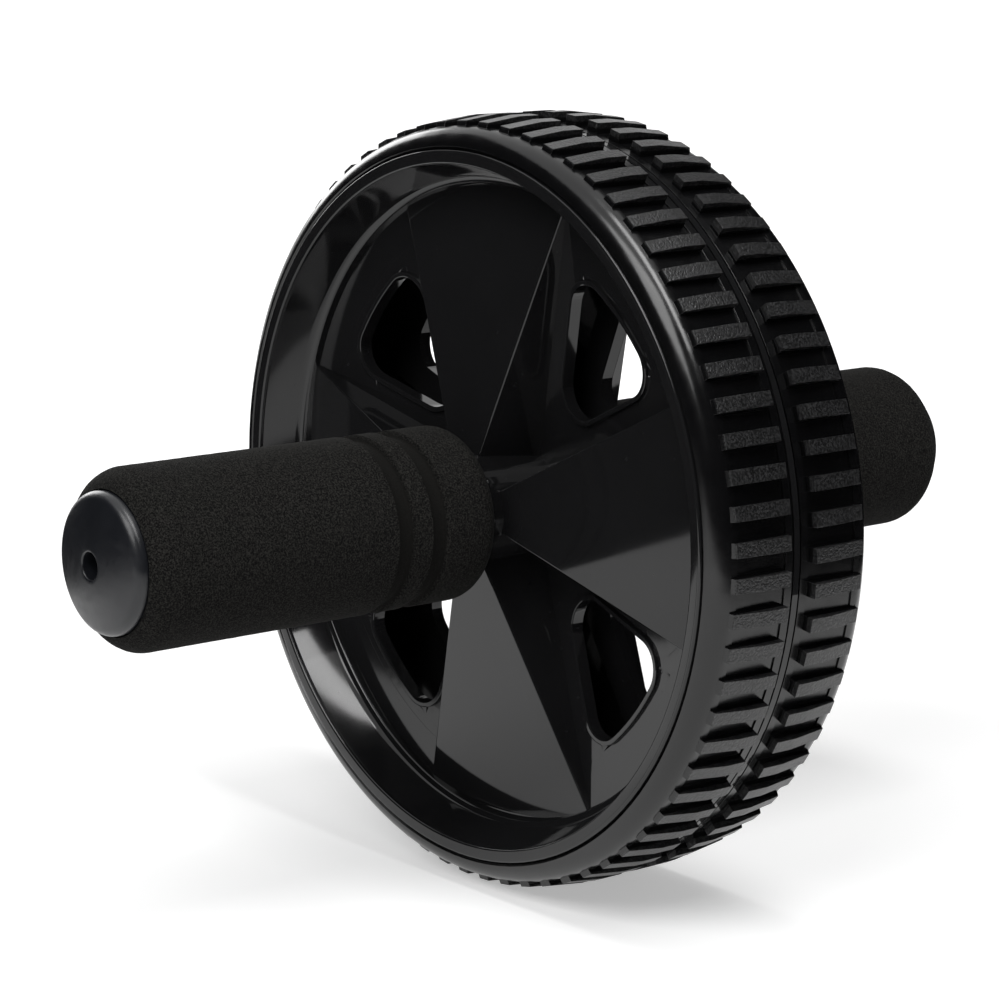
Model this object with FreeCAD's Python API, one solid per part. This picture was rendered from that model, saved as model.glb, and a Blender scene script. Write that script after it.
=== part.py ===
import FreeCAD, Part
import math
import os

os.makedirs("parts", exist_ok=True)

V = FreeCAD.Vector

# Lengths are in millimetres. The axle runs along Y with the wheel's middle plane at Y = 0,
# and every "reach" is a distance from that plane. The floor is at Z = 0.

# Clearances
running_clearance = 0.05
close_clearance = 0.05
soft_clearance = 0.3
turning_gap = 0.3
cut_overrun = 1.0

# Tyre
tyre_bore_radius = 83.05
tyre_thickness = 5.15
lug_height = 2.3
tread_floor_depth = 0.35
tyre_inner_reach = 1.27
inner_strip_width = 2.13
outer_strip_width = 0.9
tyre_edge_setback = 0.3
shoulder_radius = 5.0
bead_chamfer = 0.7
lug_count = 72
lug_thickness = 3.3
lug_inner_setback = 2.53
lug_outer_setback = 4.0
lug_flat_length = 5.7
lug_crown = 1.1
lug_end_lean = 0.55
lug_root_depth = 1.6

# Wheel half
lip_reach = 23.6
lip_width = 3.2
lip_round = 0.6
seam_flange_thickness = 0.82
rim_wall = 2.7
cove_depth = 9.6
cove_draw = 1.8
cove_sag = 0.5
dish_step_depth = 2.5
dish_step_draw = 3.6
web_fall = 7.2
web_thickness = 2.5
barrel_radius = 13.4
barrel_setback = 0.2
barrel_chamfer = 0.5

# Star of four spokes, each with a flat facet between two steep walls
spoke_count = 4
star_turn = 3.8
spoke_start = 8.0
spoke_hub_station = 20.0
spoke_rim_setback = 10.76
spoke_overrun = 3.0
facet_hub_setback = 4.06
facet_rim_rise = 1.55
facet_hub_half = 8.18
facet_rim_half = 26.78
wall_lean = 11.4
facet_edge_round = 0.45
spoke_wall = 2.2

# Windows between the spokes
window_apex = 22.75
window_half_angle = 25.1
window_rim_margin = 11.4
window_tip_round = 6.8
window_corner_round = 6.5
window_lip_width = 1.3
window_lip_height = 0.8

# Pegs that hold the halves together
post_setback = 17.0
post_radius = 4.5
peg_radius = 2.2
peg_length = 7.0
socket_spare_depth = 1.0

# Axle, bushes and washers
rod_radius = 6.0
rod_end_gap = 0.3
rod_chamfer = 0.6
bush_wall = 2.95
bush_length = 11.7
bush_flange_inset = 2.0
bush_flange_thickness = 1.9
bush_flange_stand = 0.3
sleeve_gap = 0.1
thrust_washer_inset = 1.2
thrust_washer_thickness = 1.1

# Handle core
core_radius = 13.2
core_flange_width = 1.8
core_flange_thickness = 1.1
socket_wall = 3.0
socket_depth = 13.0

# Axle screw
screw_radius = 3.0
screw_length = 14.0
screw_hole_spare = 2.0
screw_head_width = 2.4
screw_head_height = 3.6
screw_head_round = 1.4
driver_slot_width = 1.4
driver_slot_length = 6.0
driver_slot_depth = 1.9
screw_washer_width = 6.6
screw_washer_thickness = 1.2

# Foam grip
grip_thickness = 6.85
grip_length = 92.0
grip_inner_round = 4.5
grip_outer_round = 7.0
groove_setback = 17.4
groove_pitch = 9.4
groove_count = 2
groove_width = 4.7
groove_depth = 0.8
groove_flank = 0.7

# End cap
cap_radius = 15.75
cap_sink = 1.5
cap_side_height = 2.0
cap_edge_round = 2.4
cap_dome_height = 1.9
cap_thickness = 3.7
cap_hole_radius = 3.0
spigot_wall = 1.9
spigot_length = 6.0

# Radii and reaches that follow, from the tyre in to the hub
strip_radius = tyre_bore_radius + tyre_thickness
tread_radius = strip_radius + lug_height
tyre_outer_reach = lip_reach - tyre_edge_setback
inner_strip_reach = tyre_inner_reach + inner_strip_width
outer_strip_reach = tyre_outer_reach - shoulder_radius - outer_strip_width
lug_inner_reach = tyre_inner_reach + lug_inner_setback
lug_outer_reach = tyre_outer_reach - lug_outer_setback
seat_radius = tyre_bore_radius - close_clearance
rim_back_radius = seat_radius - rim_wall
lip_inner_radius = seat_radius - lip_width
cove_end_radius = lip_inner_radius - cove_draw
cove_end_reach = lip_reach - cove_depth
web_radius = cove_end_radius - dish_step_draw
web_reach = cove_end_reach - dish_step_depth
barrel_reach = lip_reach - barrel_setback
spoke_rim_station = web_radius - spoke_rim_setback
spoke_end = web_radius + spoke_overrun
cavity_end = web_radius - window_lip_width
facet_hub_reach = lip_reach - facet_hub_setback
facet_rim_reach = web_reach + facet_rim_rise
wall_slope = math.tan(math.radians(wall_lean))
window_outer_radius = web_radius - window_rim_margin
post_station = web_radius - post_setback

# Reaches that follow along the axle, from the hub out to the end cap
bush_bore_radius = rod_radius + running_clearance
bush_radius = bush_bore_radius + bush_wall
bush_flange_radius = barrel_radius - bush_flange_inset
hub_bore_radius = bush_radius + close_clearance
bush_face_reach = barrel_reach + bush_flange_stand
bush_inner_reach = bush_face_reach - bush_length
thrust_washer_radius = barrel_radius - thrust_washer_inset
washer_reach = bush_face_reach + turning_gap
core_start_reach = washer_reach + thrust_washer_thickness
core_flange_end_reach = core_start_reach + core_flange_thickness
core_bore_radius = rod_radius + close_clearance
grip_bore_radius = core_radius + soft_clearance
grip_radius = grip_bore_radius + grip_thickness
grip_inner_reach = core_flange_end_reach + soft_clearance
grip_outer_reach = grip_inner_reach + grip_length
groove_reach = grip_inner_reach + groove_setback
core_end_reach = grip_outer_reach - cap_sink
core_shoulder_reach = core_end_reach - socket_depth
socket_radius = core_radius - socket_wall
rod_half_length = core_shoulder_reach - rod_end_gap
screw_seat_reach = core_shoulder_reach + screw_washer_thickness
screw_hole_radius = screw_radius + close_clearance
cap_side_reach = core_end_reach + cap_side_height
cap_top_reach = cap_side_reach + cap_edge_round + cap_dome_height
cap_ceiling_reach = cap_top_reach - cap_thickness
spigot_radius = socket_radius - close_clearance
spigot_inner_reach = core_end_reach - spigot_length


def turned(path):
    """Turn a closed path of (radius, reach) points about the axle; a third value marks an arc's middle."""
    edges = []
    here = path[0]
    middle = None
    for step in path[1:] + path[:1]:
        if len(step) == 3:
            middle = step
            continue
        start = V(here[0], here[1], 0)
        end = V(step[0], step[1], 0)
        if middle:
            edges.append(Part.Arc(start, V(middle[0], middle[1], 0), end).toShape())
        else:
            edges.append(Part.makeLine(start, end))
        here = step
        middle = None
    return Part.Face(Part.Wire(edges)).revolve(V(0, 0, 0), V(0, 1, 0), 360)


def tube(inner, outer, start, end):
    return turned([(inner, start), (outer, start), (outer, end), (inner, end)])


def disc(radius, start, end):
    return Part.makeCylinder(radius, end - start, V(0, start, 0), V(0, 1, 0))


def spun(shape, degrees):
    """Turn a shape about the axle, from +X towards +Z."""
    copy = shape.copy()
    copy.rotate(V(0, 0, 0), V(0, -1, 0), degrees)
    return copy


def rounded(radius, centre_radius, centre_reach, degrees):
    """A point on a rounding, at an angle from the outward radius towards larger reach."""
    angle = math.radians(degrees)
    return (centre_radius + radius * math.cos(angle), centre_reach + radius * math.sin(angle))


def via(point):
    return (point[0], point[1], "middle")


def web_at(radius):
    """The reach of the web's outer face, which falls towards the hub."""
    return web_reach - web_fall * (web_radius - radius) / (web_radius - barrel_radius)


def web_layer(inner, outer, below, above):
    """A turned layer that follows the slope of the web."""
    return turned([(inner, web_at(inner) - below), (outer, web_at(outer) - below),
                   (outer, web_at(outer) + above), (inner, web_at(inner) + above)])


def facet(station, hub_value, rim_value):
    """A facet size at a distance along the spoke."""
    share = (station - spoke_hub_station) / (spoke_rim_station - spoke_hub_station)
    return hub_value + share * (rim_value - hub_value)


def wedge(start, end, wall, bottom):
    """One spoke as a block with a flat facet and leaning walls, set in by a wall thickness."""
    side_inset = wall * math.hypot(1, wall_slope)
    rings = []
    for station in (start, end):
        top = facet(station, facet_hub_reach, facet_rim_reach) - wall
        top_half = facet(station, facet_hub_half, facet_rim_half) + wall * wall_slope - side_inset
        foot_half = top_half + wall_slope * (top - bottom)
        rings.append([V(station, top, top_half), V(station, top, -top_half),
                      V(station, bottom, -foot_half), V(station, bottom, foot_half)])
    near, far = rings
    outlines = [near, far]
    for i in range(len(near)):
        j = (i + 1) % len(near)
        outlines.append([near[i], near[j], far[j], far[i]])
    faces = [Part.Face(Part.makePolygon(points + points[:1])) for points in outlines]
    solid = Part.makeSolid(Part.makeShell(faces))
    if solid.Volume < 0:
        solid.reverse()
    return solid


def long_facet_edges(solid):
    """The two edges where a spoke's facet meets its walls."""
    edges = []
    for edge in solid.Edges:
        first, last = edge.Vertexes[0].Point, edge.Vertexes[-1].Point
        runs = abs(first.x - last.x) > (spoke_end - spoke_start) / 2
        if runs and max(first.y, last.y) > web_reach:
            edges.append(edge)
    return edges


def upright_edges(solid, low, high):
    """Edges that run along the axle, between two distances from it along X."""
    edges = []
    for edge in solid.Edges:
        first, last = edge.Vertexes[0].Point, edge.Vertexes[-1].Point
        along_axle = abs(first.y - last.y) > abs(first.x - last.x) + abs(first.z - last.z)
        if along_axle and low < first.x < high:
            edges.append(edge)
    return edges


def window_block(grow, start, end):
    """A rounded triangle between two spokes, widened all round."""
    slant = math.radians(window_half_angle)
    apex = window_apex - grow / math.sin(slant)
    outer = window_outer_radius + grow
    half = (outer - apex) * math.tan(slant)
    corners = [V(apex, start, 0), V(outer, start, half), V(outer, start, -half)]
    triangle = Part.Face(Part.makePolygon(corners + corners[:1]))
    block = triangle.extrude(V(0, end - start, 0)).common(disc(outer, start, end))
    middle = (apex + outer) / 2
    block = block.makeFillet(window_tip_round + grow, upright_edges(block, 0, middle))
    return block.makeFillet(window_corner_round + grow, upright_edges(block, middle, outer))


def window_lip():
    """A low raised edge round a window, on the slope of the web."""
    layer = web_layer(barrel_radius, web_radius, web_thickness / 2, window_lip_height)
    return window_block(window_lip_width, 0, lip_reach).common(layer)


def wheel_disc():
    """Rim, web and hub of one wheel half, turned about the axle."""
    return turned([
        (hub_bore_radius, 0), (barrel_radius, 0), (barrel_radius, web_at(barrel_radius) - web_thickness),
        (web_radius, web_reach - web_thickness),
        (rim_back_radius, web_reach - web_thickness), (rim_back_radius, 0),
        (strip_radius, 0), (strip_radius, seam_flange_thickness),
        (seat_radius, seam_flange_thickness),
        (seat_radius, lip_reach - lip_round),
        via(rounded(lip_round, seat_radius - lip_round, lip_reach - lip_round, 45)),
        (seat_radius - lip_round, lip_reach),
        (lip_inner_radius + lip_round, lip_reach),
        via(rounded(lip_round, lip_inner_radius + lip_round, lip_reach - lip_round, 135)),
        (lip_inner_radius, lip_reach - lip_round),
        via(((lip_inner_radius + cove_end_radius) / 2 + cove_sag, (lip_reach + cove_end_reach) / 2)),
        (cove_end_radius, cove_end_reach),
        (web_radius, web_reach), (barrel_radius, web_at(barrel_radius)),
        (barrel_radius, barrel_reach - barrel_chamfer),
        (barrel_radius - barrel_chamfer, barrel_reach), (hub_bore_radius, barrel_reach)])


def make_wheel_half(with_pegs):
    half = wheel_disc()
    spoke = wedge(spoke_start, spoke_end, 0, 0)
    spoke = spoke.makeFillet(facet_edge_round, long_facet_edges(spoke))
    spoke = spoke.common(web_layer(0, spoke_end, web_thickness / 2, lip_reach))
    lip = window_lip()
    spoke_turns = [star_turn + 360 / spoke_count * i for i in range(spoke_count)]
    window_turns = [turn + 180 / spoke_count for turn in spoke_turns]
    half = half.fuse([spun(spoke, turn) for turn in spoke_turns] + [spun(lip, turn) for turn in window_turns])

    barrel = disc(barrel_radius, -cut_overrun, barrel_reach)
    cavity = wedge(spoke_start, cavity_end, spoke_wall, -cut_overrun).cut(barrel)
    window = window_block(0, -cut_overrun, lip_reach)
    hub_bore = disc(hub_bore_radius, -cut_overrun, barrel_reach + cut_overrun)
    flange_seat = disc(bush_flange_radius + close_clearance,
                       bush_face_reach - bush_flange_thickness, barrel_reach + cut_overrun)
    half = half.cut([spun(cavity, turn) for turn in spoke_turns] + [spun(window, turn) for turn in window_turns]
                    + [hub_bore, flange_seat])

    post_top = facet(post_station, facet_hub_reach, facet_rim_reach) - spoke_wall / 2
    post = Part.makeCylinder(post_radius, post_top, V(post_station, 0, 0), V(0, 1, 0))
    if with_pegs:
        peg = Part.makeCylinder(peg_radius, post_top + peg_length, V(post_station, -peg_length, 0), V(0, 1, 0))
        post = post.fuse(peg)
    half = half.fuse([spun(post, turn) for turn in spoke_turns])
    if not with_pegs:
        socket = Part.makeCylinder(peg_radius + close_clearance, peg_length + socket_spare_depth + cut_overrun,
                                   V(post_station, -cut_overrun, 0), V(0, 1, 0))
        half = half.cut([spun(socket, turn) for turn in spoke_turns])
    return half.removeSplitter()


def make_tyre():
    shoulder_centre = strip_radius - shoulder_radius
    shoulder_start = tyre_outer_reach - shoulder_radius
    floor_radius = strip_radius - tread_floor_depth
    bead_radius = tyre_bore_radius + bead_chamfer
    bead_angle = math.degrees(math.acos((bead_radius - shoulder_centre) / shoulder_radius))
    ring = turned([
        (tyre_bore_radius, tyre_inner_reach), (strip_radius, tyre_inner_reach),
        (strip_radius, inner_strip_reach), (floor_radius, inner_strip_reach),
        (floor_radius, outer_strip_reach), (strip_radius, outer_strip_reach),
        (strip_radius, shoulder_start),
        via(rounded(shoulder_radius, shoulder_centre, shoulder_start, bead_angle / 2)),
        rounded(shoulder_radius, shoulder_centre, shoulder_start, bead_angle),
        (tyre_bore_radius, tyre_outer_reach - bead_chamfer)])
    root_radius = floor_radius - lug_root_depth
    outline = [(root_radius, lug_inner_reach), (tread_radius, lug_inner_reach),
               (tread_radius, lug_inner_reach + lug_flat_length),
               (tread_radius - lug_crown, lug_outer_reach - lug_end_lean),
               (floor_radius, lug_outer_reach), (root_radius, lug_outer_reach)]
    corners = [V(radius, reach, -lug_thickness / 2) for radius, reach in outline]
    lug = Part.Face(Part.makePolygon(corners + corners[:1])).extrude(V(0, 0, lug_thickness))
    return ring.fuse([spun(lug, 360 / lug_count * i) for i in range(lug_count)]).removeSplitter()


def make_hub_bush():
    seat = bush_face_reach - bush_flange_thickness
    return turned([
        (bush_bore_radius, bush_inner_reach), (bush_radius, bush_inner_reach),
        (bush_radius, seat), (bush_flange_radius, seat),
        (bush_flange_radius, bush_face_reach), (bush_bore_radius, bush_face_reach)])


def make_hub_sleeve():
    end = bush_inner_reach - sleeve_gap
    return tube(rod_radius + turning_gap, bush_radius, -end, end)


def make_axle_rod():
    end = rod_half_length
    rod = turned([
        (0, -end), (rod_radius - rod_chamfer, -end), (rod_radius, rod_chamfer - end),
        (rod_radius, end - rod_chamfer), (rod_radius - rod_chamfer, end), (0, end)])
    hole_start = screw_seat_reach - screw_length - screw_hole_spare
    hole = disc(screw_hole_radius, hole_start, end + cut_overrun)
    return rod.cut([hole, mirrored(hole)])


def make_thrust_washer():
    return tube(core_bore_radius, thrust_washer_radius, washer_reach, core_start_reach)


def make_handle_core():
    flange_radius = core_radius + core_flange_width
    return turned([
        (core_bore_radius, core_start_reach), (flange_radius, core_start_reach),
        (flange_radius, core_flange_end_reach), (core_radius, core_flange_end_reach),
        (core_radius, core_end_reach), (socket_radius, core_end_reach),
        (socket_radius, core_shoulder_reach), (core_bore_radius, core_shoulder_reach)])


def make_grip():
    inner_start = grip_inner_reach + grip_inner_round
    path = [
        (grip_bore_radius, grip_inner_reach), (grip_radius - grip_inner_round, grip_inner_reach),
        via(rounded(grip_inner_round, grip_radius - grip_inner_round, inner_start, -45)),
        (grip_radius, inner_start)]
    for i in range(groove_count):
        start = groove_reach + groove_pitch * i - groove_width / 2
        end = start + groove_width
        path += [
            (grip_radius, start), (grip_radius - groove_depth, start + groove_flank),
            (grip_radius - groove_depth, end - groove_flank), (grip_radius, end)]
    recess_radius = cap_radius + soft_clearance
    recess_floor = core_end_reach - soft_clearance
    round_centre = grip_radius - grip_outer_round
    end_angle = math.degrees(math.acos((recess_radius + close_clearance - round_centre) / grip_outer_round))
    round_start = grip_outer_reach - grip_outer_round * math.sin(math.radians(end_angle))
    path += [
        (grip_radius, round_start),
        via(rounded(grip_outer_round, round_centre, round_start, end_angle / 2)),
        rounded(grip_outer_round, round_centre, round_start, end_angle),
        (recess_radius, grip_outer_reach), (recess_radius, recess_floor), (grip_bore_radius, recess_floor)]
    return turned(path)


def make_end_cap():
    rim = cap_radius - cap_edge_round
    rise = cap_top_reach - cap_side_reach
    dome_radius = (rim * rim + rise * rise - cap_edge_round * cap_edge_round) / (2 * cap_dome_height)
    dome_centre = cap_top_reach - dome_radius
    join_angle = math.degrees(math.atan2(cap_side_reach - dome_centre, rim))
    hole_angle = math.degrees(math.acos(cap_hole_radius / dome_radius))
    return turned([
        (spigot_radius - spigot_wall, spigot_inner_reach), (spigot_radius, spigot_inner_reach),
        (spigot_radius, core_end_reach), (cap_radius, core_end_reach), (cap_radius, cap_side_reach),
        via(rounded(cap_edge_round, rim, cap_side_reach, join_angle / 2)),
        rounded(cap_edge_round, rim, cap_side_reach, join_angle),
        via(rounded(dome_radius, 0, dome_centre, (join_angle + hole_angle) / 2)),
        rounded(dome_radius, 0, dome_centre, hole_angle),
        (cap_hole_radius, cap_ceiling_reach), (spigot_radius - spigot_wall, cap_ceiling_reach)])


def make_axle_screw():
    head_end = screw_seat_reach + screw_head_height
    screw_head_radius = screw_radius + screw_head_width
    screw = turned([
        (0, screw_seat_reach - screw_length), (screw_radius, screw_seat_reach - screw_length),
        (screw_radius, screw_seat_reach), (screw_head_radius, screw_seat_reach),
        (screw_head_radius, head_end - screw_head_round),
        via(rounded(screw_head_round, screw_head_radius - screw_head_round, head_end - screw_head_round, 45)),
        (screw_head_radius - screw_head_round, head_end), (0, head_end)])
    slot = Part.makeBox(driver_slot_length, driver_slot_depth + cut_overrun, driver_slot_width,
                        V(-driver_slot_length / 2, head_end - driver_slot_depth, -driver_slot_width / 2))
    return screw.cut([slot, spun(slot, 90)])


def make_screw_washer():
    return tube(screw_hole_radius, screw_radius + screw_washer_width, core_shoulder_reach, screw_seat_reach)


def mirrored(shape):
    return shape.mirror(V(0, 0, 0), V(0, 1, 0))


def export(node, shape):
    placed = shape.copy()
    placed.translate(V(0, 0, tread_radius))
    placed.exportStep("parts/" + node + ".step")


tyre = make_tyre()
pairs = {
    "hub_bush": make_hub_bush(),
    "thrust_washer": make_thrust_washer(),
    "handle_core": make_handle_core(),
    "grip": make_grip(),
    "end_cap": make_end_cap(),
    "axle_screw": make_axle_screw(),
    "screw_washer": make_screw_washer(),
}
for name, shape in pairs.items():
    export("front_" + name, mirrored(shape))
    export("rear_" + name, shape)
export("front_wheel", mirrored(make_wheel_half(True)))
export("rear_wheel", make_wheel_half(False))
export("front_tyre", mirrored(spun(tyre, 180 / lug_count)))
export("rear_tyre", tyre)
export("hub_sleeve", make_hub_sleeve())
export("axle_rod", make_axle_rod())
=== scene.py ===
"""Looks and studio stage of an ab wheel roller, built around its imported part."""

import math

import bmesh
import bpy
from bpy.props import FloatProperty, FloatVectorProperty, IntProperty, PointerProperty
from mathutils import Matrix, Vector


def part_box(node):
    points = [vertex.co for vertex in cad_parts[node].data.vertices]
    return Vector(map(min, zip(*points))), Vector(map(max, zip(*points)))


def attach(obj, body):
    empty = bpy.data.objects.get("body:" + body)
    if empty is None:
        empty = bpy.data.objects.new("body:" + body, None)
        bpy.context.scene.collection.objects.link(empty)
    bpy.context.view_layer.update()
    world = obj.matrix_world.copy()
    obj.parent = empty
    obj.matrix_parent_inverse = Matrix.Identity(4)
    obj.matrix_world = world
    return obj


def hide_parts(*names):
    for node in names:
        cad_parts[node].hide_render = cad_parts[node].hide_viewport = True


bl_info = {
    "name": "Ab wheel roller",
    "version": (1, 0, 0),
    "blender": (4, 5, 0),
    "location": "View3D > Sidebar > Roller",
    "description": "Dresses an ab wheel roller and sets up its studio stage",
    "category": "Object",
}

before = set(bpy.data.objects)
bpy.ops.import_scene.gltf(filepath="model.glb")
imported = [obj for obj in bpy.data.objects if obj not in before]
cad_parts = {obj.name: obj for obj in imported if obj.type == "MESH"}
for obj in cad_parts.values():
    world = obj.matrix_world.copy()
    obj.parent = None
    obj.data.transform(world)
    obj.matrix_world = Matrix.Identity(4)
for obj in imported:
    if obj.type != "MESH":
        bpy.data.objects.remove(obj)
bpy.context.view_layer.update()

GRIP_LOW, GRIP_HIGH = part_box("rear_grip")
CAP_LOW, CAP_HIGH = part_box("rear_end_cap")
TYRE_LOW, TYRE_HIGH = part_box("rear_tyre")
AXLE_HEIGHT = (TYRE_LOW.z + TYRE_HIGH.z) / 2
SIDES = (("front", -1), ("rear", 1))

# Meshes: merging distances in metres, steps round a turned piece and angles in degrees
CAD_MERGE = 0.000002
TURNED_MERGE = 0.00002
SEED_SIZE = 0.001
RIM_STEPS = 288
CAP_STEPS = 128
FLAG_STEPS = 64
CAP_RUN = 0.004
WHEEL_SMOOTH = 13
RIM_SMOOTH = 22
TYRE_SMOOTH = 28
GRIP_SMOOTH = 50
CAP_SMOOTH = 35
LIP_EDGE = 40
LUG_EDGE = 32
FLAT_SIDE = 0.5

# Rim skin: (radius, reach) points from the dish's edge and from the cove's foot, then its hidden back
STEP_BEAD = ((0.00045, -0.0009), (0.00055, -0.00062), (0.00072, -0.00042), (0.001, -0.00033))
COVE_FOOT = ((-0.0004, -0.00015), (-0.0001, 0), (0.0001, 0.0003))
COVE_STEPS = 16
LIP_DEPTH = 0.001
SKIN_DEPTH = 0.0006
BACK_TOP = 0.005
BACK_FOOT = 0.0036

# Grip groove: (offset in half widths, share of the depth)
GROOVE = ((-1, 0), (-0.94, 0.15), (-0.84, 0.85), (-0.74, 1), (0.7, 1), (0.8, 0.85), (0.92, 0.15), (1, 0))
RECESS_EDGE = 0.00005
FOAM_LUMP = 0.0016

# Finishes: distances over which one surface goes over into the next
LUG_SIDE = 0.0017
LUG_TOP = 0.0011
STRIP_FADE = 0.0006
# Painted shade on the grip's groove floors: full up to the first of these heights over the floor, gone at
# the second
GROOVE_FLOOR = 0.0002
GROOVE_WALL = 0.0009

# Stage: soft boxes by place, size and power, flags, surround and camera
SOFT_BOXES = (
    ("key_box", (0.38, -0.95, 1.1), (0.9, 0.8), "key_power"),
    ("overhead_box", (0.5, 0, 1.2), (0.3, 0.9), "overhead_power"),
    ("rear_box", (-1.12, 0.15, 0.5), (0.5, 0.5), "rear_power"),
)
FLOOR_SIZE = 12
FLOOR_FADE = (0.25, 1.2)
FLOOR_GLOW = 0.4
SURROUND_LIGHT = 0.2
RING_CENTRE = (-0.25, -0.25, 0.002)
SIDE_FLAG_PLACE = (-0.823, -0.559, 0.004)
SIDE_FLAG_SIZE = (1.3, 1.5, 1)
SIDE_FLAG_TURN = 13.8
CAMERA_LENS = 115.9
CAMERA_SENSOR = 36
CAMERA_RIGHT = (0.6304, 0.7763, 0)
CAMERA_UP = (-0.1469, 0.1193, 0.9819)
CAMERA_PLACE = (0.57424, -0.47709, 0.14324)


def length(name, description, default):
    """A length that a user may change."""
    return FloatProperty(name=name, description=description, default=default, unit="LENGTH", precision=5)


def power(name, description, default):
    """A lamp's power that a user may change."""
    return FloatProperty(name=name, description=description, default=default, unit="POWER", min=0)


def colour(name, description, default):
    """A colour that a user may change."""
    return FloatVectorProperty(
        name=name, description=description, default=default, subtype="COLOR", min=0, max=1)


def plain(name, description, default):
    """A number without a unit that a user may change."""
    return FloatProperty(name=name, description=description, default=default)


class RollerSizes(bpy.types.PropertyGroup):
    """Sizes of the modelled pieces, in metres"""

    axle_height: length("Axle height", "Height of the axle over the floor", AXLE_HEIGHT)
    lip_bevel: length("Lip bevel", "Rounding of the raised lips round the wheel's windows", 0.00028)
    window_inner: length("Window inner end", "Radius inside which no window edge lies", 0.0225)
    window_outer: length("Window outer end", "Radius outside which no window edge lies", 0.0738)
    web_hub: length("Web at the hub", "Distance of the wheel's web from the middle, at the axle", 0.0024)
    web_rise: plain("Web rise", "Rise of the web per metre of radius", 0.118)
    dish_edge: length("Dish edge", "Radius of the dish inside the rim's step", 0.0744)
    dish_reach: length("Dish reach", "Distance of the dish's edge from the middle", 0.0115)
    cove_end: length("Cove end", "Radius at the foot of the rim's cove", 0.0763)
    cove_reach: length("Cove reach", "Distance of the cove's foot from the middle", 0.0138)
    cove_sag: length("Cove sag", "Hollow of the rim's cove", 0.0001)
    lip_inner: length("Lip inside", "Inner radius of the rim's lip", 0.0798)
    lip_outer: length("Lip outside", "Outer radius of the lip's flat", 0.0822)
    lip_reach: length("Lip reach", "Distance of the rim's lip from the middle", 0.0236)
    lip_round: length("Lip rounding", "Rounding of the lip's inner edge", 0.0006)
    skin_edge: length("Skin edge", "Inner radius of the polished rim", 0.0668)
    skin: length("Skin", "Height of the polished rim over the wheel's body", 0.00004)
    tyre_bevel: length("Tyre bevel", "Width of the rounded edges on the tyre lugs", 0.0004)
    strip_edge: length("Strip edge", "Distance from the middle at which the shoulder starts", 0.0192)
    tread_radius: length(
        "Tread radius", "Radius over the tops of the tyre lugs", (TYRE_HIGH.z - TYRE_LOW.z) / 2)
    grip_radius: length("Grip radius", "Outer radius of the foam grips", (GRIP_HIGH.x - GRIP_LOW.x) / 2)
    grip_bore: length("Grip bore", "Inner radius of the foam grips", 0.0135)
    grip_inner: length("Grip inner end", "Distance of the grip's wheel end from the middle", GRIP_LOW.y)
    grip_outer: length("Grip outer end", "Distance of the grip's far end from the middle", GRIP_HIGH.y)
    grip_inner_round: length("Inner rounding", "Rounding of the grip's wheel end", 0.0045)
    grip_outer_round: length("Outer rounding", "Rounding of the grip's far end", 0.007)
    grip_recess: length("Cap recess", "Radius of the recess that takes the end cap", 0.01605)
    grip_recess_depth: length("Recess depth", "Depth of the recess that takes the end cap", 0.0018)
    groove_start: length("Groove start", "Distance of the first groove from the grip's wheel end", 0.0174)
    groove_pitch: length("Groove pitch", "Distance between the two grooves", 0.0094)
    groove_width: length("Groove width", "Width of a grip groove", 0.0047)
    groove_depth: length("Groove depth", "Depth of a grip groove", 0.0015)
    groove_stop: length("Groove stop", "Distance from the middle where the grooves end", 0.057)
    foam_grain: length("Foam grain", "Height of the uneven foam surface", 0.00009)
    foam_step: length("Foam step", "Spacing of the foam's surface points", 0.0007)
    cap_radius: length("Cap radius", "Outer radius of the end caps", (CAP_HIGH.x - CAP_LOW.x) / 2)
    cap_base: length("Cap base", "Distance of the cap's underside from the middle", 0.117)
    cap_side: length("Cap side", "Height of the cap's straight side", 0.002)
    cap_edge: length("Cap edge", "Rounding of the cap's edge", 0.0024)
    cap_dome: length("Cap dome", "Height of the cap's dome", 0.0019)
    cap_hole: length("Cap hole", "Radius of the hole in the cap", 0.003)
    cap_hole_edge: length("Hole edge", "Rounding of the hole's edge", 0.0004)
    cap_thickness: length("Cap thickness", "Thickness of the cap at its hole", 0.0037)
    spigot_radius: length("Spigot radius", "Outer radius of the cap's spigot", 0.01015)
    spigot_wall: length("Spigot wall", "Wall of the cap's spigot", 0.0019)
    spigot_length: length("Spigot length", "Length of the cap's spigot", 0.006)
    turned_steps: IntProperty(
        name="Turned steps", description="Steps round a foam grip", default=224, min=32)


class RollerColours(bpy.types.PropertyGroup):
    """Colours of the roller's finishes"""

    wheel: colour("Wheel", "Gloss plastic of the wheel halves", (0.0095, 0.0095, 0.01))
    tyre: colour("Tyre", "Smooth rubber between the lugs", (0.003, 0.003, 0.0033))
    lug: colour("Lug tops", "Rough rubber on the lug tops", (0.017, 0.017, 0.0175))
    foam: colour("Foam", "Foam of the grips", (0.0108, 0.0105, 0.0096))
    foam_pore: colour("Foam pores", "Dark pores in the foam", (0.0035, 0.0035, 0.0035))
    cap: colour("Cap", "Satin plastic of the end caps", (0.0075, 0.0082, 0.0105))
    core: colour("Core", "Matt plastic of the handle cores", (0.012, 0.012, 0.013))
    bush: colour("Bush", "Nylon of the bushes and washers", (0.02, 0.02, 0.022))
    steel: colour("Steel", "Rod, screws and washers", (0.55, 0.55, 0.56))
    floor: colour("Floor", "Studio floor", (0.8, 0.8, 0.8))
    flag: colour("Flags", "Dark flags that keep reflections dark", (0.012, 0.012, 0.013))


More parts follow.
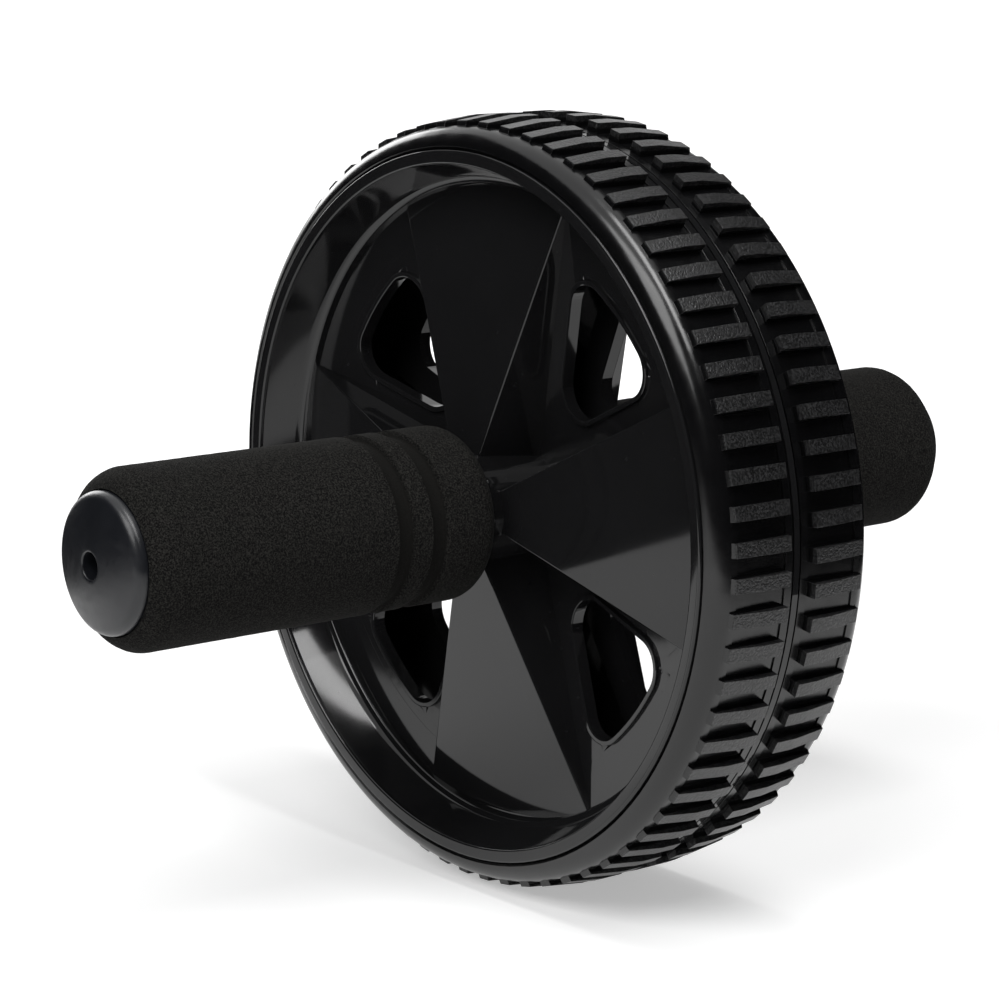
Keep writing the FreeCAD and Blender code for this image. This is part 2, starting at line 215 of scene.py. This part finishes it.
class RollerStage(bpy.types.PropertyGroup):
    """Lights and flags of the studio stage"""

    key_power: power("Key light", "Power of the soft box above the camera", 12)
    overhead_power: power("Overhead light", "Power of the soft box above the right", 8)
    rear_power: power("Rear light", "Power of the soft box behind the left", 3.5)
    pale_radius: length("Pale floor", "Radius of the floor that reflections see", 0.65)
    flag_radius: length("Flag radius", "Distance of the upright flags", 1.6)
    flag_height: length("Flag height", "Height of the upright flags", 2.0)
    ring_start: plain("Ring start", "Bearing at which the flags start, in degrees", 112)
    ring_turn: plain("Ring turn", "Turn that the flags cover, in degrees", 292)


def only_select(piece):
    """Leave one object selected and active."""
    if bpy.context.object and bpy.context.object.mode != "OBJECT":
        bpy.ops.object.mode_set(mode="OBJECT")
    bpy.ops.object.select_all(action="DESELECT")
    if piece:
        piece.select_set(True)
        bpy.context.view_layer.objects.active = piece


def arc(centre, radius, start, end, count):
    """Points on an arc of a (radius, reach) profile, from one angle to another in degrees."""
    points = []
    for i in range(count + 1):
        angle = math.radians(start + (end - start) * i / count)
        points.append((centre[0] + radius * math.cos(angle), centre[1] + radius * math.sin(angle)))
    return points


def fine_steps(profile, step):
    """Divide the long runs of a profile, so that its points lie about one step apart."""
    points = [profile[0]]
    for here, there in zip(profile, profile[1:]):
        count = max(1, round(math.dist(here, there) / step))
        across, along = there[0] - here[0], there[1] - here[1]
        for i in range(1, count + 1):
            points.append((here[0] + across * i / count, here[1] + along * i / count))
    return points


def start_outline(name, place):
    """Start a new piece as one selected point in edit mode, ready to be extruded."""
    only_select(None)
    bpy.ops.mesh.primitive_plane_add(size=SEED_SIZE, location=place)
    piece = bpy.context.object
    piece.name = name
    bpy.ops.object.transform_apply(location=True)
    bpy.ops.object.mode_set(mode="EDIT")
    bpy.ops.mesh.select_all(action="SELECT")
    bpy.ops.mesh.merge(type="CENTER")
    return piece


def turn_piece(name, profile, side, steps, axle_height):
    """Extrude a closed (radius, reach) profile point by point and spin it about the axle."""
    radius, reach = profile[0]
    piece = start_outline(name, (radius, side * reach, axle_height))
    for here, there in zip(profile, profile[1:]):
        move = (there[0] - here[0], side * (there[1] - here[1]), 0)
        bpy.ops.mesh.extrude_vertices_move(TRANSFORM_OT_translate={"value": move})
    bpy.ops.mesh.select_all(action="SELECT")
    bpy.ops.mesh.spin(steps=steps, angle=2 * math.pi, center=(0, 0, axle_height), axis=(0, 1, 0))
    bpy.ops.mesh.select_all(action="SELECT")
    bpy.ops.mesh.remove_doubles(threshold=TURNED_MERGE)
    bpy.ops.mesh.normals_make_consistent(inside=False)
    bpy.ops.object.mode_set(mode="OBJECT")
    return piece


def cad_copy(node, name):
    """Copy a CAD node as a new piece and merge its loose triangles."""
    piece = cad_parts[node].copy()
    piece.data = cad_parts[node].data.copy()
    piece.name = name
    piece.parent = None
    bpy.context.scene.collection.objects.link(piece)
    only_select(piece)
    bpy.ops.object.mode_set(mode="EDIT")
    bpy.ops.mesh.select_all(action="SELECT")
    bpy.ops.mesh.remove_doubles(threshold=CAD_MERGE)
    bpy.ops.object.mode_set(mode="OBJECT")
    return piece


def even_shading(piece, angle):
    """Shade smooth up to an angle, with the large faces setting the normals."""
    bpy.ops.object.shade_smooth_by_angle(angle=math.radians(angle))
    weighted = piece.modifiers.new("even_shading", "WEIGHTED_NORMAL")
    weighted.keep_sharp = True
    bpy.ops.object.modifier_apply(modifier=weighted.name)


def round_window_lips(piece, sizes):
    """Bevel the sharp edges of the raised lips round the windows."""
    bpy.ops.object.mode_set(mode="EDIT")
    bpy.ops.mesh.select_mode(type="EDGE")
    bpy.ops.mesh.select_all(action="DESELECT")
    mesh = bmesh.from_edit_mesh(piece.data)
    for edge in mesh.edges:
        middle = (edge.verts[0].co + edge.verts[1].co) / 2
        radius = math.hypot(middle.x, middle.z - sizes.axle_height)
        outside = abs(middle.y) > sizes.web_hub + sizes.web_rise * radius
        on_lip = outside and sizes.window_inner < radius < sizes.window_outer
        if on_lip and edge.is_convex and edge.calc_face_angle() > math.radians(LIP_EDGE):
            edge.select_set(True)
    bmesh.update_edit_mesh(piece.data)
    bpy.ops.mesh.bevel(offset=sizes.lip_bevel, segments=2, clamp_overlap=False)
    bpy.ops.mesh.select_mode(type="VERT")
    bpy.ops.object.mode_set(mode="OBJECT")


def round_lugs(piece, sizes):
    """Merge the triangles of the lugs' flat sides and round all their edges."""
    bpy.ops.object.mode_set(mode="EDIT")
    bpy.ops.mesh.select_all(action="SELECT")
    bpy.ops.mesh.dissolve_limited(angle_limit=math.radians(FLAT_SIDE))
    bpy.ops.object.mode_set(mode="OBJECT")
    rounding = piece.modifiers.new("rounding", "BEVEL")
    rounding.width = sizes.tyre_bevel
    rounding.segments = 2
    rounding.limit_method = "ANGLE"
    rounding.angle_limit = math.radians(LUG_EDGE)
    rounding.use_clamp_overlap = True
    bpy.ops.object.modifier_apply(modifier=rounding.name)


def settle(piece, body, node, material):
    """Let a finished piece ride on its body in place of its CAD node."""
    piece.data.materials.clear()
    piece.data.materials.append(material)
    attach(piece, body)
    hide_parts(node)


class Finish:
    """A procedural material, built up from nodes."""

    def __init__(self, name):
        self.material = bpy.data.materials.new(name)
        self.material.use_nodes = True
        self.nodes = self.material.node_tree.nodes
        self.links = self.material.node_tree.links
        self.shader = self.nodes["Principled BSDF"]
        self.place = self.nodes.new("ShaderNodeTexCoord").outputs["Object"]

    def set(self, **values):
        """Set sockets of the shader, named with underscores for spaces."""
        for socket, value in values.items():
            self.shader.inputs[socket.replace("_", " ")].default_value = value

    def join(self, source, target):
        self.links.new(source, target)

    def feed(self, socket, source):
        """Link a pattern to a socket of the shader."""
        self.join(source, self.shader.inputs[socket])

    def mapped(self, location=(0, 0, 0), scale=(1, 1, 1)):
        """Object coordinates, moved and scaled."""
        node = self.nodes.new("ShaderNodeMapping")
        node.inputs["Location"].default_value = location
        node.inputs["Scale"].default_value = scale
        self.join(self.place, node.inputs["Vector"])
        return node.outputs["Vector"]

    def noise(self, scale, detail=2.0, place=None):
        """Soft noise from 0 to 1."""
        node = self.nodes.new("ShaderNodeTexNoise")
        node.inputs["Scale"].default_value = scale
        node.inputs["Detail"].default_value = detail
        self.join(place or self.place, node.inputs["Vector"])
        return node.outputs["Fac"]

    def cells(self, scale):
        """Distance from the middles of irregular cells."""
        node = self.nodes.new("ShaderNodeTexVoronoi")
        node.inputs["Scale"].default_value = scale
        self.join(self.place, node.inputs["Vector"])
        return node.outputs["Distance"]

    def spread(self, source, low, high, to_low, to_high):
        """Spread a range of values over another range."""
        node = self.nodes.new("ShaderNodeMapRange")
        node.inputs["From Min"].default_value = low
        node.inputs["From Max"].default_value = high
        node.inputs["To Min"].default_value = to_low
        node.inputs["To Max"].default_value = to_high
        self.join(source, node.inputs["Value"])
        return node.outputs["Result"]

    def maths(self, operation, first, second):
        """Add, multiply or otherwise join two values."""
        node = self.nodes.new("ShaderNodeMath")
        node.operation = operation
        for socket, value in zip(node.inputs, (first, second)):
            if isinstance(value, (int, float)):
                socket.default_value = value
            else:
                self.join(value, socket)
        return node.outputs["Value"]

    def mix(self, factor, first, second):
        """Mix two colours by a factor."""
        node = self.nodes.new("ShaderNodeMix")
        node.data_type = "RGBA"
        self.join(factor, node.inputs["Factor"])
        for socket, value in ((node.inputs[6], first), (node.inputs[7], second)):
            if isinstance(value, bpy.types.NodeSocket):
                self.join(value, socket)
            else:
                socket.default_value = (*value, 1)
        return node.outputs[2]

    def radius(self, axle_height):
        """Distance from the axle."""
        flat = self.nodes.new("ShaderNodeVectorMath")
        flat.operation = "MULTIPLY"
        flat.inputs[1].default_value = (1, 0, 1)
        self.join(self.mapped(location=(0, 0, -axle_height)), flat.inputs[0])
        size = self.nodes.new("ShaderNodeVectorMath")
        size.operation = "LENGTH"
        self.join(flat.outputs["Vector"], size.inputs[0])
        return size.outputs["Value"]

    def across(self):
        """Distance from the middle along the axle."""
        parts = self.nodes.new("ShaderNodeSeparateXYZ")
        self.join(self.place, parts.inputs[0])
        return self.maths("ABSOLUTE", parts.outputs["Y"], 0)

    def bump(self, height, strength, distance):
        """Raise the surface by a height pattern, as far as light goes."""
        node = self.nodes.new("ShaderNodeBump")
        node.inputs["Strength"].default_value = strength
        node.inputs["Distance"].default_value = distance
        self.join(height, node.inputs["Height"])
        self.feed("Normal", node.outputs["Normal"])


def tinted(value, factor):
    """A lighter or darker shade of a colour."""
    return tuple(channel * factor for channel in value)


def gloss_plastic(colours):
    """Moulded black plastic with a polished skin."""
    finish = Finish("gloss_plastic")
    drift = finish.noise(scale=45, detail=3)
    skin = finish.mix(drift, tinted(colours.wheel, 0.75), tinted(colours.wheel, 1.25))
    dust = finish.spread(finish.noise(scale=900), 0.72, 0.8, 0, 0.4)
    finish.feed("Base Color", finish.mix(dust, skin, tinted(colours.wheel, 5)))
    finish.feed("Roughness", finish.spread(finish.noise(scale=30, detail=4), 0.3, 0.7, 0.05, 0.085))
    finish.bump(finish.noise(scale=120, detail=1), strength=0.02, distance=0.0002)
    finish.set(Specular_IOR_Level=0.42)
    return finish.material


def tyre_rubber(sizes, colours):
    """Rubber, smooth on the shoulder and between the lugs, rough and dusty on the lug tops."""
    finish = Finish("tyre_rubber")
    radius = finish.radius(sizes.axle_height)
    top = finish.spread(radius, sizes.tread_radius - LUG_SIDE, sizes.tread_radius - LUG_TOP, 0, 1)
    gap = finish.spread(finish.across(), sizes.strip_edge - STRIP_FADE, sizes.strip_edge, 1, 0)
    grain = finish.noise(scale=2000)
    speckle = finish.spread(grain, 0.42, 0.62, 0, 1)
    lug = finish.mix(speckle, tinted(colours.lug, 0.35), tinted(colours.lug, 1.7))
    clouds = finish.noise(scale=300, detail=3)
    smooth = finish.mix(clouds, tinted(colours.tyre, 0.8), tinted(colours.tyre, 1.2))
    finish.feed("Base Color", finish.mix(top, smooth, lug))
    patchy = finish.spread(finish.noise(scale=220, detail=3), 0.3, 0.7, 0.17, 0.24)
    dull = finish.maths("ADD", patchy, finish.spread(gap, 0, 1, 0, 0.03))
    finish.feed("Roughness", finish.maths("ADD", dull, finish.spread(top, 0, 1, 0, 0.08)))
    rough = finish.maths("MULTIPLY", grain, finish.spread(top, 0, 1, 0.015, 1))
    finish.bump(rough, strength=0.6, distance=0.0003)
    finish.set(Specular_IOR_Level=0.5)
    return finish.material


def grip_foam(sizes, colours):
    """Matt foam with fine open pores, and painted shade on the groove floors."""
    finish = Finish("grip_foam")
    pores = finish.noise(scale=2600, detail=3)
    pits = finish.spread(finish.cells(scale=2300), 0.05, 0.45, 0, 1)
    lit = finish.spread(pores, 0.4, 0.64, 0, 1)
    fleck = finish.mix(lit, colours.foam_pore, tinted(colours.foam, 2.2))
    open_foam = finish.mix(pits, tinted(colours.foam, 0.6), fleck)
    across = finish.across()
    inner = sizes.grip_inner
    starts = finish.spread(across, inner + sizes.grip_inner_round, inner + sizes.groove_start / 2, 0, 1)
    ends = finish.spread(across, sizes.groove_stop, sizes.groove_stop + sizes.groove_width, 1, 0)
    # Painted shade: the foam colour is darker on the groove floors, from the grip's wheel end up to the
    # groove stop
    floor = sizes.grip_radius - sizes.groove_depth
    sunk = finish.spread(finish.radius(sizes.axle_height), floor + GROOVE_FLOOR, floor + GROOVE_WALL, 1, 0)
    groove_shade = finish.maths("MULTIPLY", sunk, finish.maths("MULTIPLY", starts, ends))
    finish.feed("Base Color", finish.mix(groove_shade, open_foam, tinted(colours.foam, 0.74)))
    relief = finish.maths("ADD", pores, finish.maths("MULTIPLY", pits, 0.4))
    finish.bump(relief, strength=0.6, distance=0.00025)
    finish.set(Roughness=0.95, Specular_IOR_Level=0.05, Sheen_Weight=0.01, Sheen_Roughness=0.6)
    return finish.material


def satin_plastic(colours):
    """Satin plastic of the end caps, a little uneven in tone and gloss."""
    finish = Finish("satin_plastic")
    drift = finish.noise(scale=160, detail=3)
    finish.feed("Base Color", finish.mix(drift, tinted(colours.cap, 0.8), tinted(colours.cap, 1.25)))
    finish.feed("Roughness", finish.spread(finish.noise(scale=420, detail=4), 0.3, 0.7, 0.28, 0.38))
    finish.bump(finish.noise(scale=900, detail=3), strength=0.08, distance=0.0002)
    finish.set(Specular_IOR_Level=0.5)
    return finish.material


def matt_plastic(name, base):
    """Moulded plastic with a fine matt grain."""
    finish = Finish(name)
    drift = finish.noise(scale=240, detail=3)
    finish.feed("Base Color", finish.mix(drift, tinted(base, 0.8), tinted(base, 1.25)))
    finish.feed("Roughness", finish.spread(finish.noise(scale=600), 0.3, 0.7, 0.45, 0.6))
    finish.bump(finish.noise(scale=1400), strength=0.15, distance=0.0002)
    return finish.material


def turned_steel(colours):
    """Steel with fine turning marks along the axle."""
    finish = Finish("turned_steel")
    marks = finish.noise(scale=900, detail=3, place=finish.mapped(scale=(0.05, 1, 0.05)))
    finish.feed("Base Color", finish.mix(marks, tinted(colours.steel, 0.8), colours.steel))
    finish.feed("Roughness", finish.spread(marks, 0.3, 0.7, 0.24, 0.4))
    finish.bump(marks, strength=0.1, distance=0.0001)
    finish.set(Metallic=1.0)
    return finish.material


def rim_profile(sizes):
    """Closed profile of the rim's polished skin: the step up from the dish, the cove and the lip."""
    dish, cove, lip, edge = sizes.dish_edge, sizes.cove_end, sizes.lip_inner, sizes.lip_round
    low, middle, high = sizes.dish_reach, sizes.cove_reach, sizes.lip_reach
    flat = (sizes.skin_edge, low - (dish - sizes.skin_edge) * sizes.web_rise)
    profile = [flat, (dish, low)]
    profile += [(dish + out, middle + along) for out, along in STEP_BEAD]
    profile += [(cove + out, middle + along) for out, along in COVE_FOOT]
    for i in range(1, COVE_STEPS):
        part = i / COVE_STEPS
        radius = cove + (lip - cove) * part + sizes.cove_sag * 4 * part * (1 - part)
        profile.append((radius, middle + (high - edge - middle) * part))
    profile += arc((lip + edge, high - edge), edge, 180, 90, 6)
    profile += [(sizes.lip_outer, high), (sizes.lip_outer, high - LIP_DEPTH), (dish + BACK_TOP, middle)]
    profile += [(dish + BACK_FOOT, low - SKIN_DEPTH), (flat[0], flat[1] - SKIN_DEPTH)]
    proud = [(radius - sizes.skin, reach + sizes.skin) for radius, reach in profile]
    return proud + proud[:1]


class ROLLER_OT_wheels(bpy.types.Operator):
    """Round the edges of the wheel halves and give them their gloss plastic"""

    bl_idname = "roller.wheels"
    bl_label = "Wheel halves"

    def execute(self, context):
        sizes = context.scene.roller_sizes
        plastic = gloss_plastic(context.scene.roller_colours)
        for side, sign in SIDES:
            piece = cad_copy(side + "_wheel", side + "_wheel_half")
            round_window_lips(piece, sizes)
            even_shading(piece, WHEEL_SMOOTH)
            turn_piece(side + "_rim", rim_profile(sizes), sign, RIM_STEPS, sizes.axle_height)
            bpy.ops.object.shade_smooth_by_angle(angle=math.radians(RIM_SMOOTH))
            piece.select_set(True)
            context.view_layer.objects.active = piece
            bpy.ops.object.join()
            settle(piece, "wheel", side + "_wheel", plastic)
        return {"FINISHED"}


class ROLLER_OT_tyres(bpy.types.Operator):
    """Round the lugs of the tyres and give them their rubber"""

    bl_idname = "roller.tyres"
    bl_label = "Tyres"

    def execute(self, context):
        sizes = context.scene.roller_sizes
        rubber = tyre_rubber(sizes, context.scene.roller_colours)
        for side, _ in SIDES:
            piece = cad_copy(side + "_tyre", side + "_lug_tyre")
            round_lugs(piece, sizes)
            even_shading(piece, TYRE_SMOOTH)
            settle(piece, "wheel", side + "_tyre", rubber)
        return {"FINISHED"}


def grip_profile(sizes):
    """Closed profile of a foam grip with its rounded ends and grooves."""
    inner, outer, radius = sizes.grip_inner, sizes.grip_outer, sizes.grip_radius
    inner_round, outer_round = sizes.grip_inner_round, sizes.grip_outer_round
    profile = [(sizes.grip_bore, inner)]
    profile += arc((radius - inner_round, inner + inner_round), inner_round, -90, 0, 10)
    for i in range(2):
        centre = inner + sizes.groove_start + sizes.groove_pitch * i
        half, depth = sizes.groove_width / 2, sizes.groove_depth
        for offset, sink in GROOVE:
            profile.append((radius - depth * sink, centre + half * offset))
    recess, floor = sizes.grip_recess, outer - sizes.grip_recess_depth
    end_angle = math.degrees(math.acos((recess + RECESS_EDGE - radius + outer_round) / outer_round))
    start = outer - outer_round * math.sin(math.radians(end_angle))
    profile += arc((radius - outer_round, start), outer_round, 0, end_angle, 14)
    profile += [(recess, outer), (recess, floor), (sizes.grip_bore, floor)]
    return fine_steps(profile + profile[:1], sizes.foam_step)


class ROLLER_OT_grips(bpy.types.Operator):
    """Turn the foam grips, with their rounded ends, grooves and uneven surface"""

    bl_idname = "roller.grips"
    bl_label = "Foam grips"

    def execute(self, context):
        sizes = context.scene.roller_sizes
        foam = grip_foam(sizes, context.scene.roller_colours)
        profile = grip_profile(sizes)
        grain = bpy.data.textures.new("foam_grain", "CLOUDS")
        grain.noise_scale = FOAM_LUMP
        grain.noise_depth = 1
        for side, sign in SIDES:
            piece = turn_piece(side + "_foam_grip", profile, sign, sizes.turned_steps, sizes.axle_height)
            uneven = piece.modifiers.new("uneven", "DISPLACE")
            uneven.texture = grain
            uneven.strength = sizes.foam_grain
            uneven.mid_level = 1.0
            bpy.ops.object.modifier_apply(modifier=uneven.name)
            bpy.ops.object.shade_smooth_by_angle(angle=math.radians(GRIP_SMOOTH))
            settle(piece, "handles", side + "_grip", foam)
        return {"FINISHED"}


def cap_profile(sizes):
    """Closed profile of an end cap with its dome, hole and spigot."""
    base, foot = sizes.cap_base, sizes.cap_base - sizes.spigot_length
    rim = sizes.cap_radius - sizes.cap_edge
    side = base + sizes.cap_side
    top = side + sizes.cap_edge + sizes.cap_dome
    dome = (rim * rim + (top - side) ** 2 - sizes.cap_edge ** 2) / (2 * sizes.cap_dome)
    join = math.degrees(math.atan2(side - top + dome, rim))
    mouth, edge = sizes.cap_hole + sizes.cap_hole_edge, sizes.cap_hole_edge
    hole = math.degrees(math.acos(mouth / dome))
    inside, floor = sizes.spigot_radius - sizes.spigot_wall, top - sizes.cap_thickness
    profile = [(inside, foot), (sizes.spigot_radius, foot)]
    profile += [(sizes.spigot_radius, base), (sizes.cap_radius, base)]
    profile += arc((rim, side), sizes.cap_edge, 0, join, 10)
    profile += arc((0, top - dome), dome, join, hole, 16)[1:]
    profile += arc((mouth, profile[-1][1] - edge), edge, 90, 180, 5)
    profile += [(sizes.cap_hole, floor), (inside, floor)]
    return fine_steps(profile + profile[:1], CAP_RUN)


class ROLLER_OT_end_caps(bpy.types.Operator):
    """Turn the domed end caps"""

    bl_idname = "roller.end_caps"
    bl_label = "End caps"

    def execute(self, context):
        sizes = context.scene.roller_sizes
        plastic = satin_plastic(context.scene.roller_colours)
        profile = cap_profile(sizes)
        for side, sign in SIDES:
            piece = turn_piece(side + "_domed_cap", profile, sign, CAP_STEPS, sizes.axle_height)
            bpy.ops.object.shade_smooth_by_angle(angle=math.radians(CAP_SMOOTH))
            settle(piece, "handles", side + "_end_cap", plastic)
        return {"FINISHED"}


class ROLLER_OT_axle_parts(bpy.types.Operator):
    """Give the axle, cores, bushes, washers and screws their finishes"""

    bl_idname = "roller.axle_parts"
    bl_label = "Axle parts"

    def execute(self, context):
        colours = context.scene.roller_colours
        steel = turned_steel(colours)
        core = matt_plastic("core_plastic", colours.core)
        nylon = matt_plastic("bush_nylon", colours.bush)
        finishes = {"axle_rod": steel, "hub_sleeve": core}
        for side, _ in SIDES:
            finishes[side + "_axle_screw"] = steel
            finishes[side + "_screw_washer"] = steel
            finishes[side + "_handle_core"] = core
            finishes[side + "_thrust_washer"] = nylon
            finishes[side + "_hub_bush"] = nylon
        for node, material in finishes.items():
            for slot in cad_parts[node].material_slots:
                slot.material = material
        return {"FINISHED"}


def soft_light(name, place, aim, size, watts):
    """A rectangular soft box that faces a point."""
    bpy.ops.object.light_add(type="AREA", location=place)
    lamp = bpy.context.object
    lamp.name = name
    lamp.rotation_euler = (aim - Vector(place)).to_track_quat("-Z", "Y").to_euler()
    lamp.data.shape = "RECTANGLE"
    lamp.data.size, lamp.data.size_y = size
    lamp.data.energy = watts
    lamp.visible_camera = False


def seen_rays(nodes, links):
    """A factor that is 1 for camera, glossy and transmission rays."""
    path = nodes.new("ShaderNodeLightPath")
    total = path.outputs["Is Camera Ray"]
    for name in ("Is Glossy Ray", "Is Transmission Ray"):
        node = nodes.new("ShaderNodeMath")
        node.operation = "MAXIMUM"
        links.new(total, node.inputs[0])
        links.new(path.outputs[name], node.inputs[1])
        total = node.outputs["Value"]
    return total


def pale_floor(tone):
    """Floor paint that goes over into the white surround with distance."""
    finish = Finish("studio_floor")
    finish.feed("Base Color", finish.mix(finish.noise(scale=6), tinted(tone, 0.99), tone))
    finish.set(Roughness=0.9, Specular_IOR_Level=0.1, Emission_Color=(1, 1, 1, 1))
    far = finish.nodes.new("ShaderNodeVectorMath")
    far.operation = "LENGTH"
    finish.join(finish.place, far.inputs[0])
    glow = finish.spread(far.outputs["Value"], *FLOOR_FADE, FLOOR_GLOW, 1)
    seen = seen_rays(finish.nodes, finish.links)
    finish.feed("Emission Strength", finish.maths("MULTIPLY", seen, glow))
    return finish.material


def flag_cloth(tone):
    """Black studio cloth."""
    finish = Finish("flag_cloth")
    finish.feed("Base Color", finish.mix(finish.noise(scale=40, detail=3), tinted(tone, 0.6), tone))
    finish.set(Roughness=1.0, Specular_IOR_Level=0.0)
    return finish.material


def set_flag(flag, cloth):
    """Keep a flag out of everything but the reflections."""
    flag.data.materials.append(cloth)
    flag.visible_camera = False
    flag.visible_diffuse = False
    flag.visible_shadow = False


def flag_ring(stage, cloth):
    """Flags that lie on the floor and then stand up, round all sides but the back left."""
    start, turn = math.radians(stage.ring_start), math.radians(stage.ring_turn)
    centre = Vector(RING_CENTRE)
    outwards = Vector((math.cos(start), math.sin(start), 0))
    ring = start_outline("flag_ring", centre + stage.pale_radius * outwards)
    run = (stage.flag_radius - stage.pale_radius) * outwards
    for move in (run, (0, 0, stage.flag_height)):
        bpy.ops.mesh.extrude_vertices_move(TRANSFORM_OT_translate={"value": move})
    bpy.ops.mesh.select_all(action="SELECT")
    bpy.ops.mesh.spin(steps=FLAG_STEPS, angle=turn, center=centre, axis=(0, 0, 1))
    bpy.ops.object.mode_set(mode="OBJECT")
    set_flag(ring, cloth)


def side_flag(cloth):
    """A flag that lies on the floor at the left, up to a line beside the roller."""
    only_select(None)
    turn = (0, 0, math.radians(SIDE_FLAG_TURN))
    bpy.ops.mesh.primitive_plane_add(size=1, location=SIDE_FLAG_PLACE, rotation=turn)
    flag = bpy.context.object
    flag.name = "side_flag"
    flag.scale = SIDE_FLAG_SIZE
    bpy.ops.object.transform_apply(location=True, rotation=True, scale=True)
    set_flag(flag, cloth)


class ROLLER_OT_stage(bpy.types.Operator):
    """Set up the floor, the white surround, the soft lights, the flags and the camera"""

    bl_idname = "roller.stage"
    bl_label = "Studio stage"

    def execute(self, context):
        scene = context.scene
        stage = scene.roller_stage
        only_select(None)
        bpy.ops.mesh.primitive_plane_add(size=FLOOR_SIZE, location=(0, 0, 0))
        floor = context.object
        floor.name = "studio_floor"
        floor.data.materials.append(pale_floor(scene.roller_colours.floor))

        world = bpy.data.worlds.new("white_surround")
        scene.world = world
        world.use_nodes = True
        nodes, links = world.node_tree.nodes, world.node_tree.links
        surround = nodes["Background"]
        surround.inputs["Color"].default_value = (1, 1, 1, 1)
        strength = nodes.new("ShaderNodeMapRange")
        strength.inputs["To Min"].default_value = SURROUND_LIGHT
        links.new(seen_rays(nodes, links), strength.inputs["Value"])
        links.new(strength.outputs["Result"], surround.inputs["Strength"])

        middle = Vector((0, 0, scene.roller_sizes.axle_height))
        for name, place, size, watts in SOFT_BOXES:
            soft_light(name, place, middle, size, getattr(stage, watts))
        cloth = flag_cloth(scene.roller_colours.flag)
        flag_ring(stage, cloth)
        side_flag(cloth)

        camera = bpy.data.cameras.new("photo_camera")
        camera.lens = CAMERA_LENS
        camera.sensor_width = CAMERA_SENSOR
        holder = bpy.data.objects.new("photo_camera", camera)
        scene.collection.objects.link(holder)
        right, up = Vector(CAMERA_RIGHT), Vector(CAMERA_UP)
        turn = Matrix((right, up, right.cross(up))).transposed()
        holder.matrix_world = Matrix.Translation(middle + Vector(CAMERA_PLACE)) @ turn.to_4x4()
        scene.camera = holder
        scene.view_settings.view_transform = "Standard"
        return {"FINISHED"}


STEPS = (
    ROLLER_OT_wheels,
    ROLLER_OT_tyres,
    ROLLER_OT_grips,
    ROLLER_OT_end_caps,
    ROLLER_OT_axle_parts,
    ROLLER_OT_stage,
)


class VIEW3D_PT_roller(bpy.types.Panel):
    """Sizes, colours and steps of the roller"""

    bl_idname = "VIEW3D_PT_roller"
    bl_label = "Ab wheel roller"
    bl_space_type = "VIEW_3D"
    bl_region_type = "UI"
    bl_category = "Roller"

    def draw(self, context):
        for group in (context.scene.roller_sizes, context.scene.roller_colours, context.scene.roller_stage):
            column = self.layout.column()
            for name in group.__annotations__:
                column.prop(group, name)
        for step in STEPS:
            self.layout.operator(step.bl_idname)


CLASSES = (RollerSizes, RollerColours, RollerStage, *STEPS, VIEW3D_PT_roller)


def register():
    for item in CLASSES:
        bpy.utils.register_class(item)
    bpy.types.Scene.roller_sizes = PointerProperty(type=RollerSizes)
    bpy.types.Scene.roller_colours = PointerProperty(type=RollerColours)
    bpy.types.Scene.roller_stage = PointerProperty(type=RollerStage)


def unregister():
    del bpy.types.Scene.roller_stage
    del bpy.types.Scene.roller_colours
    del bpy.types.Scene.roller_sizes
    for item in reversed(CLASSES):
        bpy.utils.unregister_class(item)


def main():
    register()
    bpy.ops.roller.wheels()
    bpy.ops.roller.tyres()
    bpy.ops.roller.grips()
    bpy.ops.roller.end_caps()
    bpy.ops.roller.axle_parts()
    bpy.ops.roller.stage()


if __name__ == "__main__":
    main()
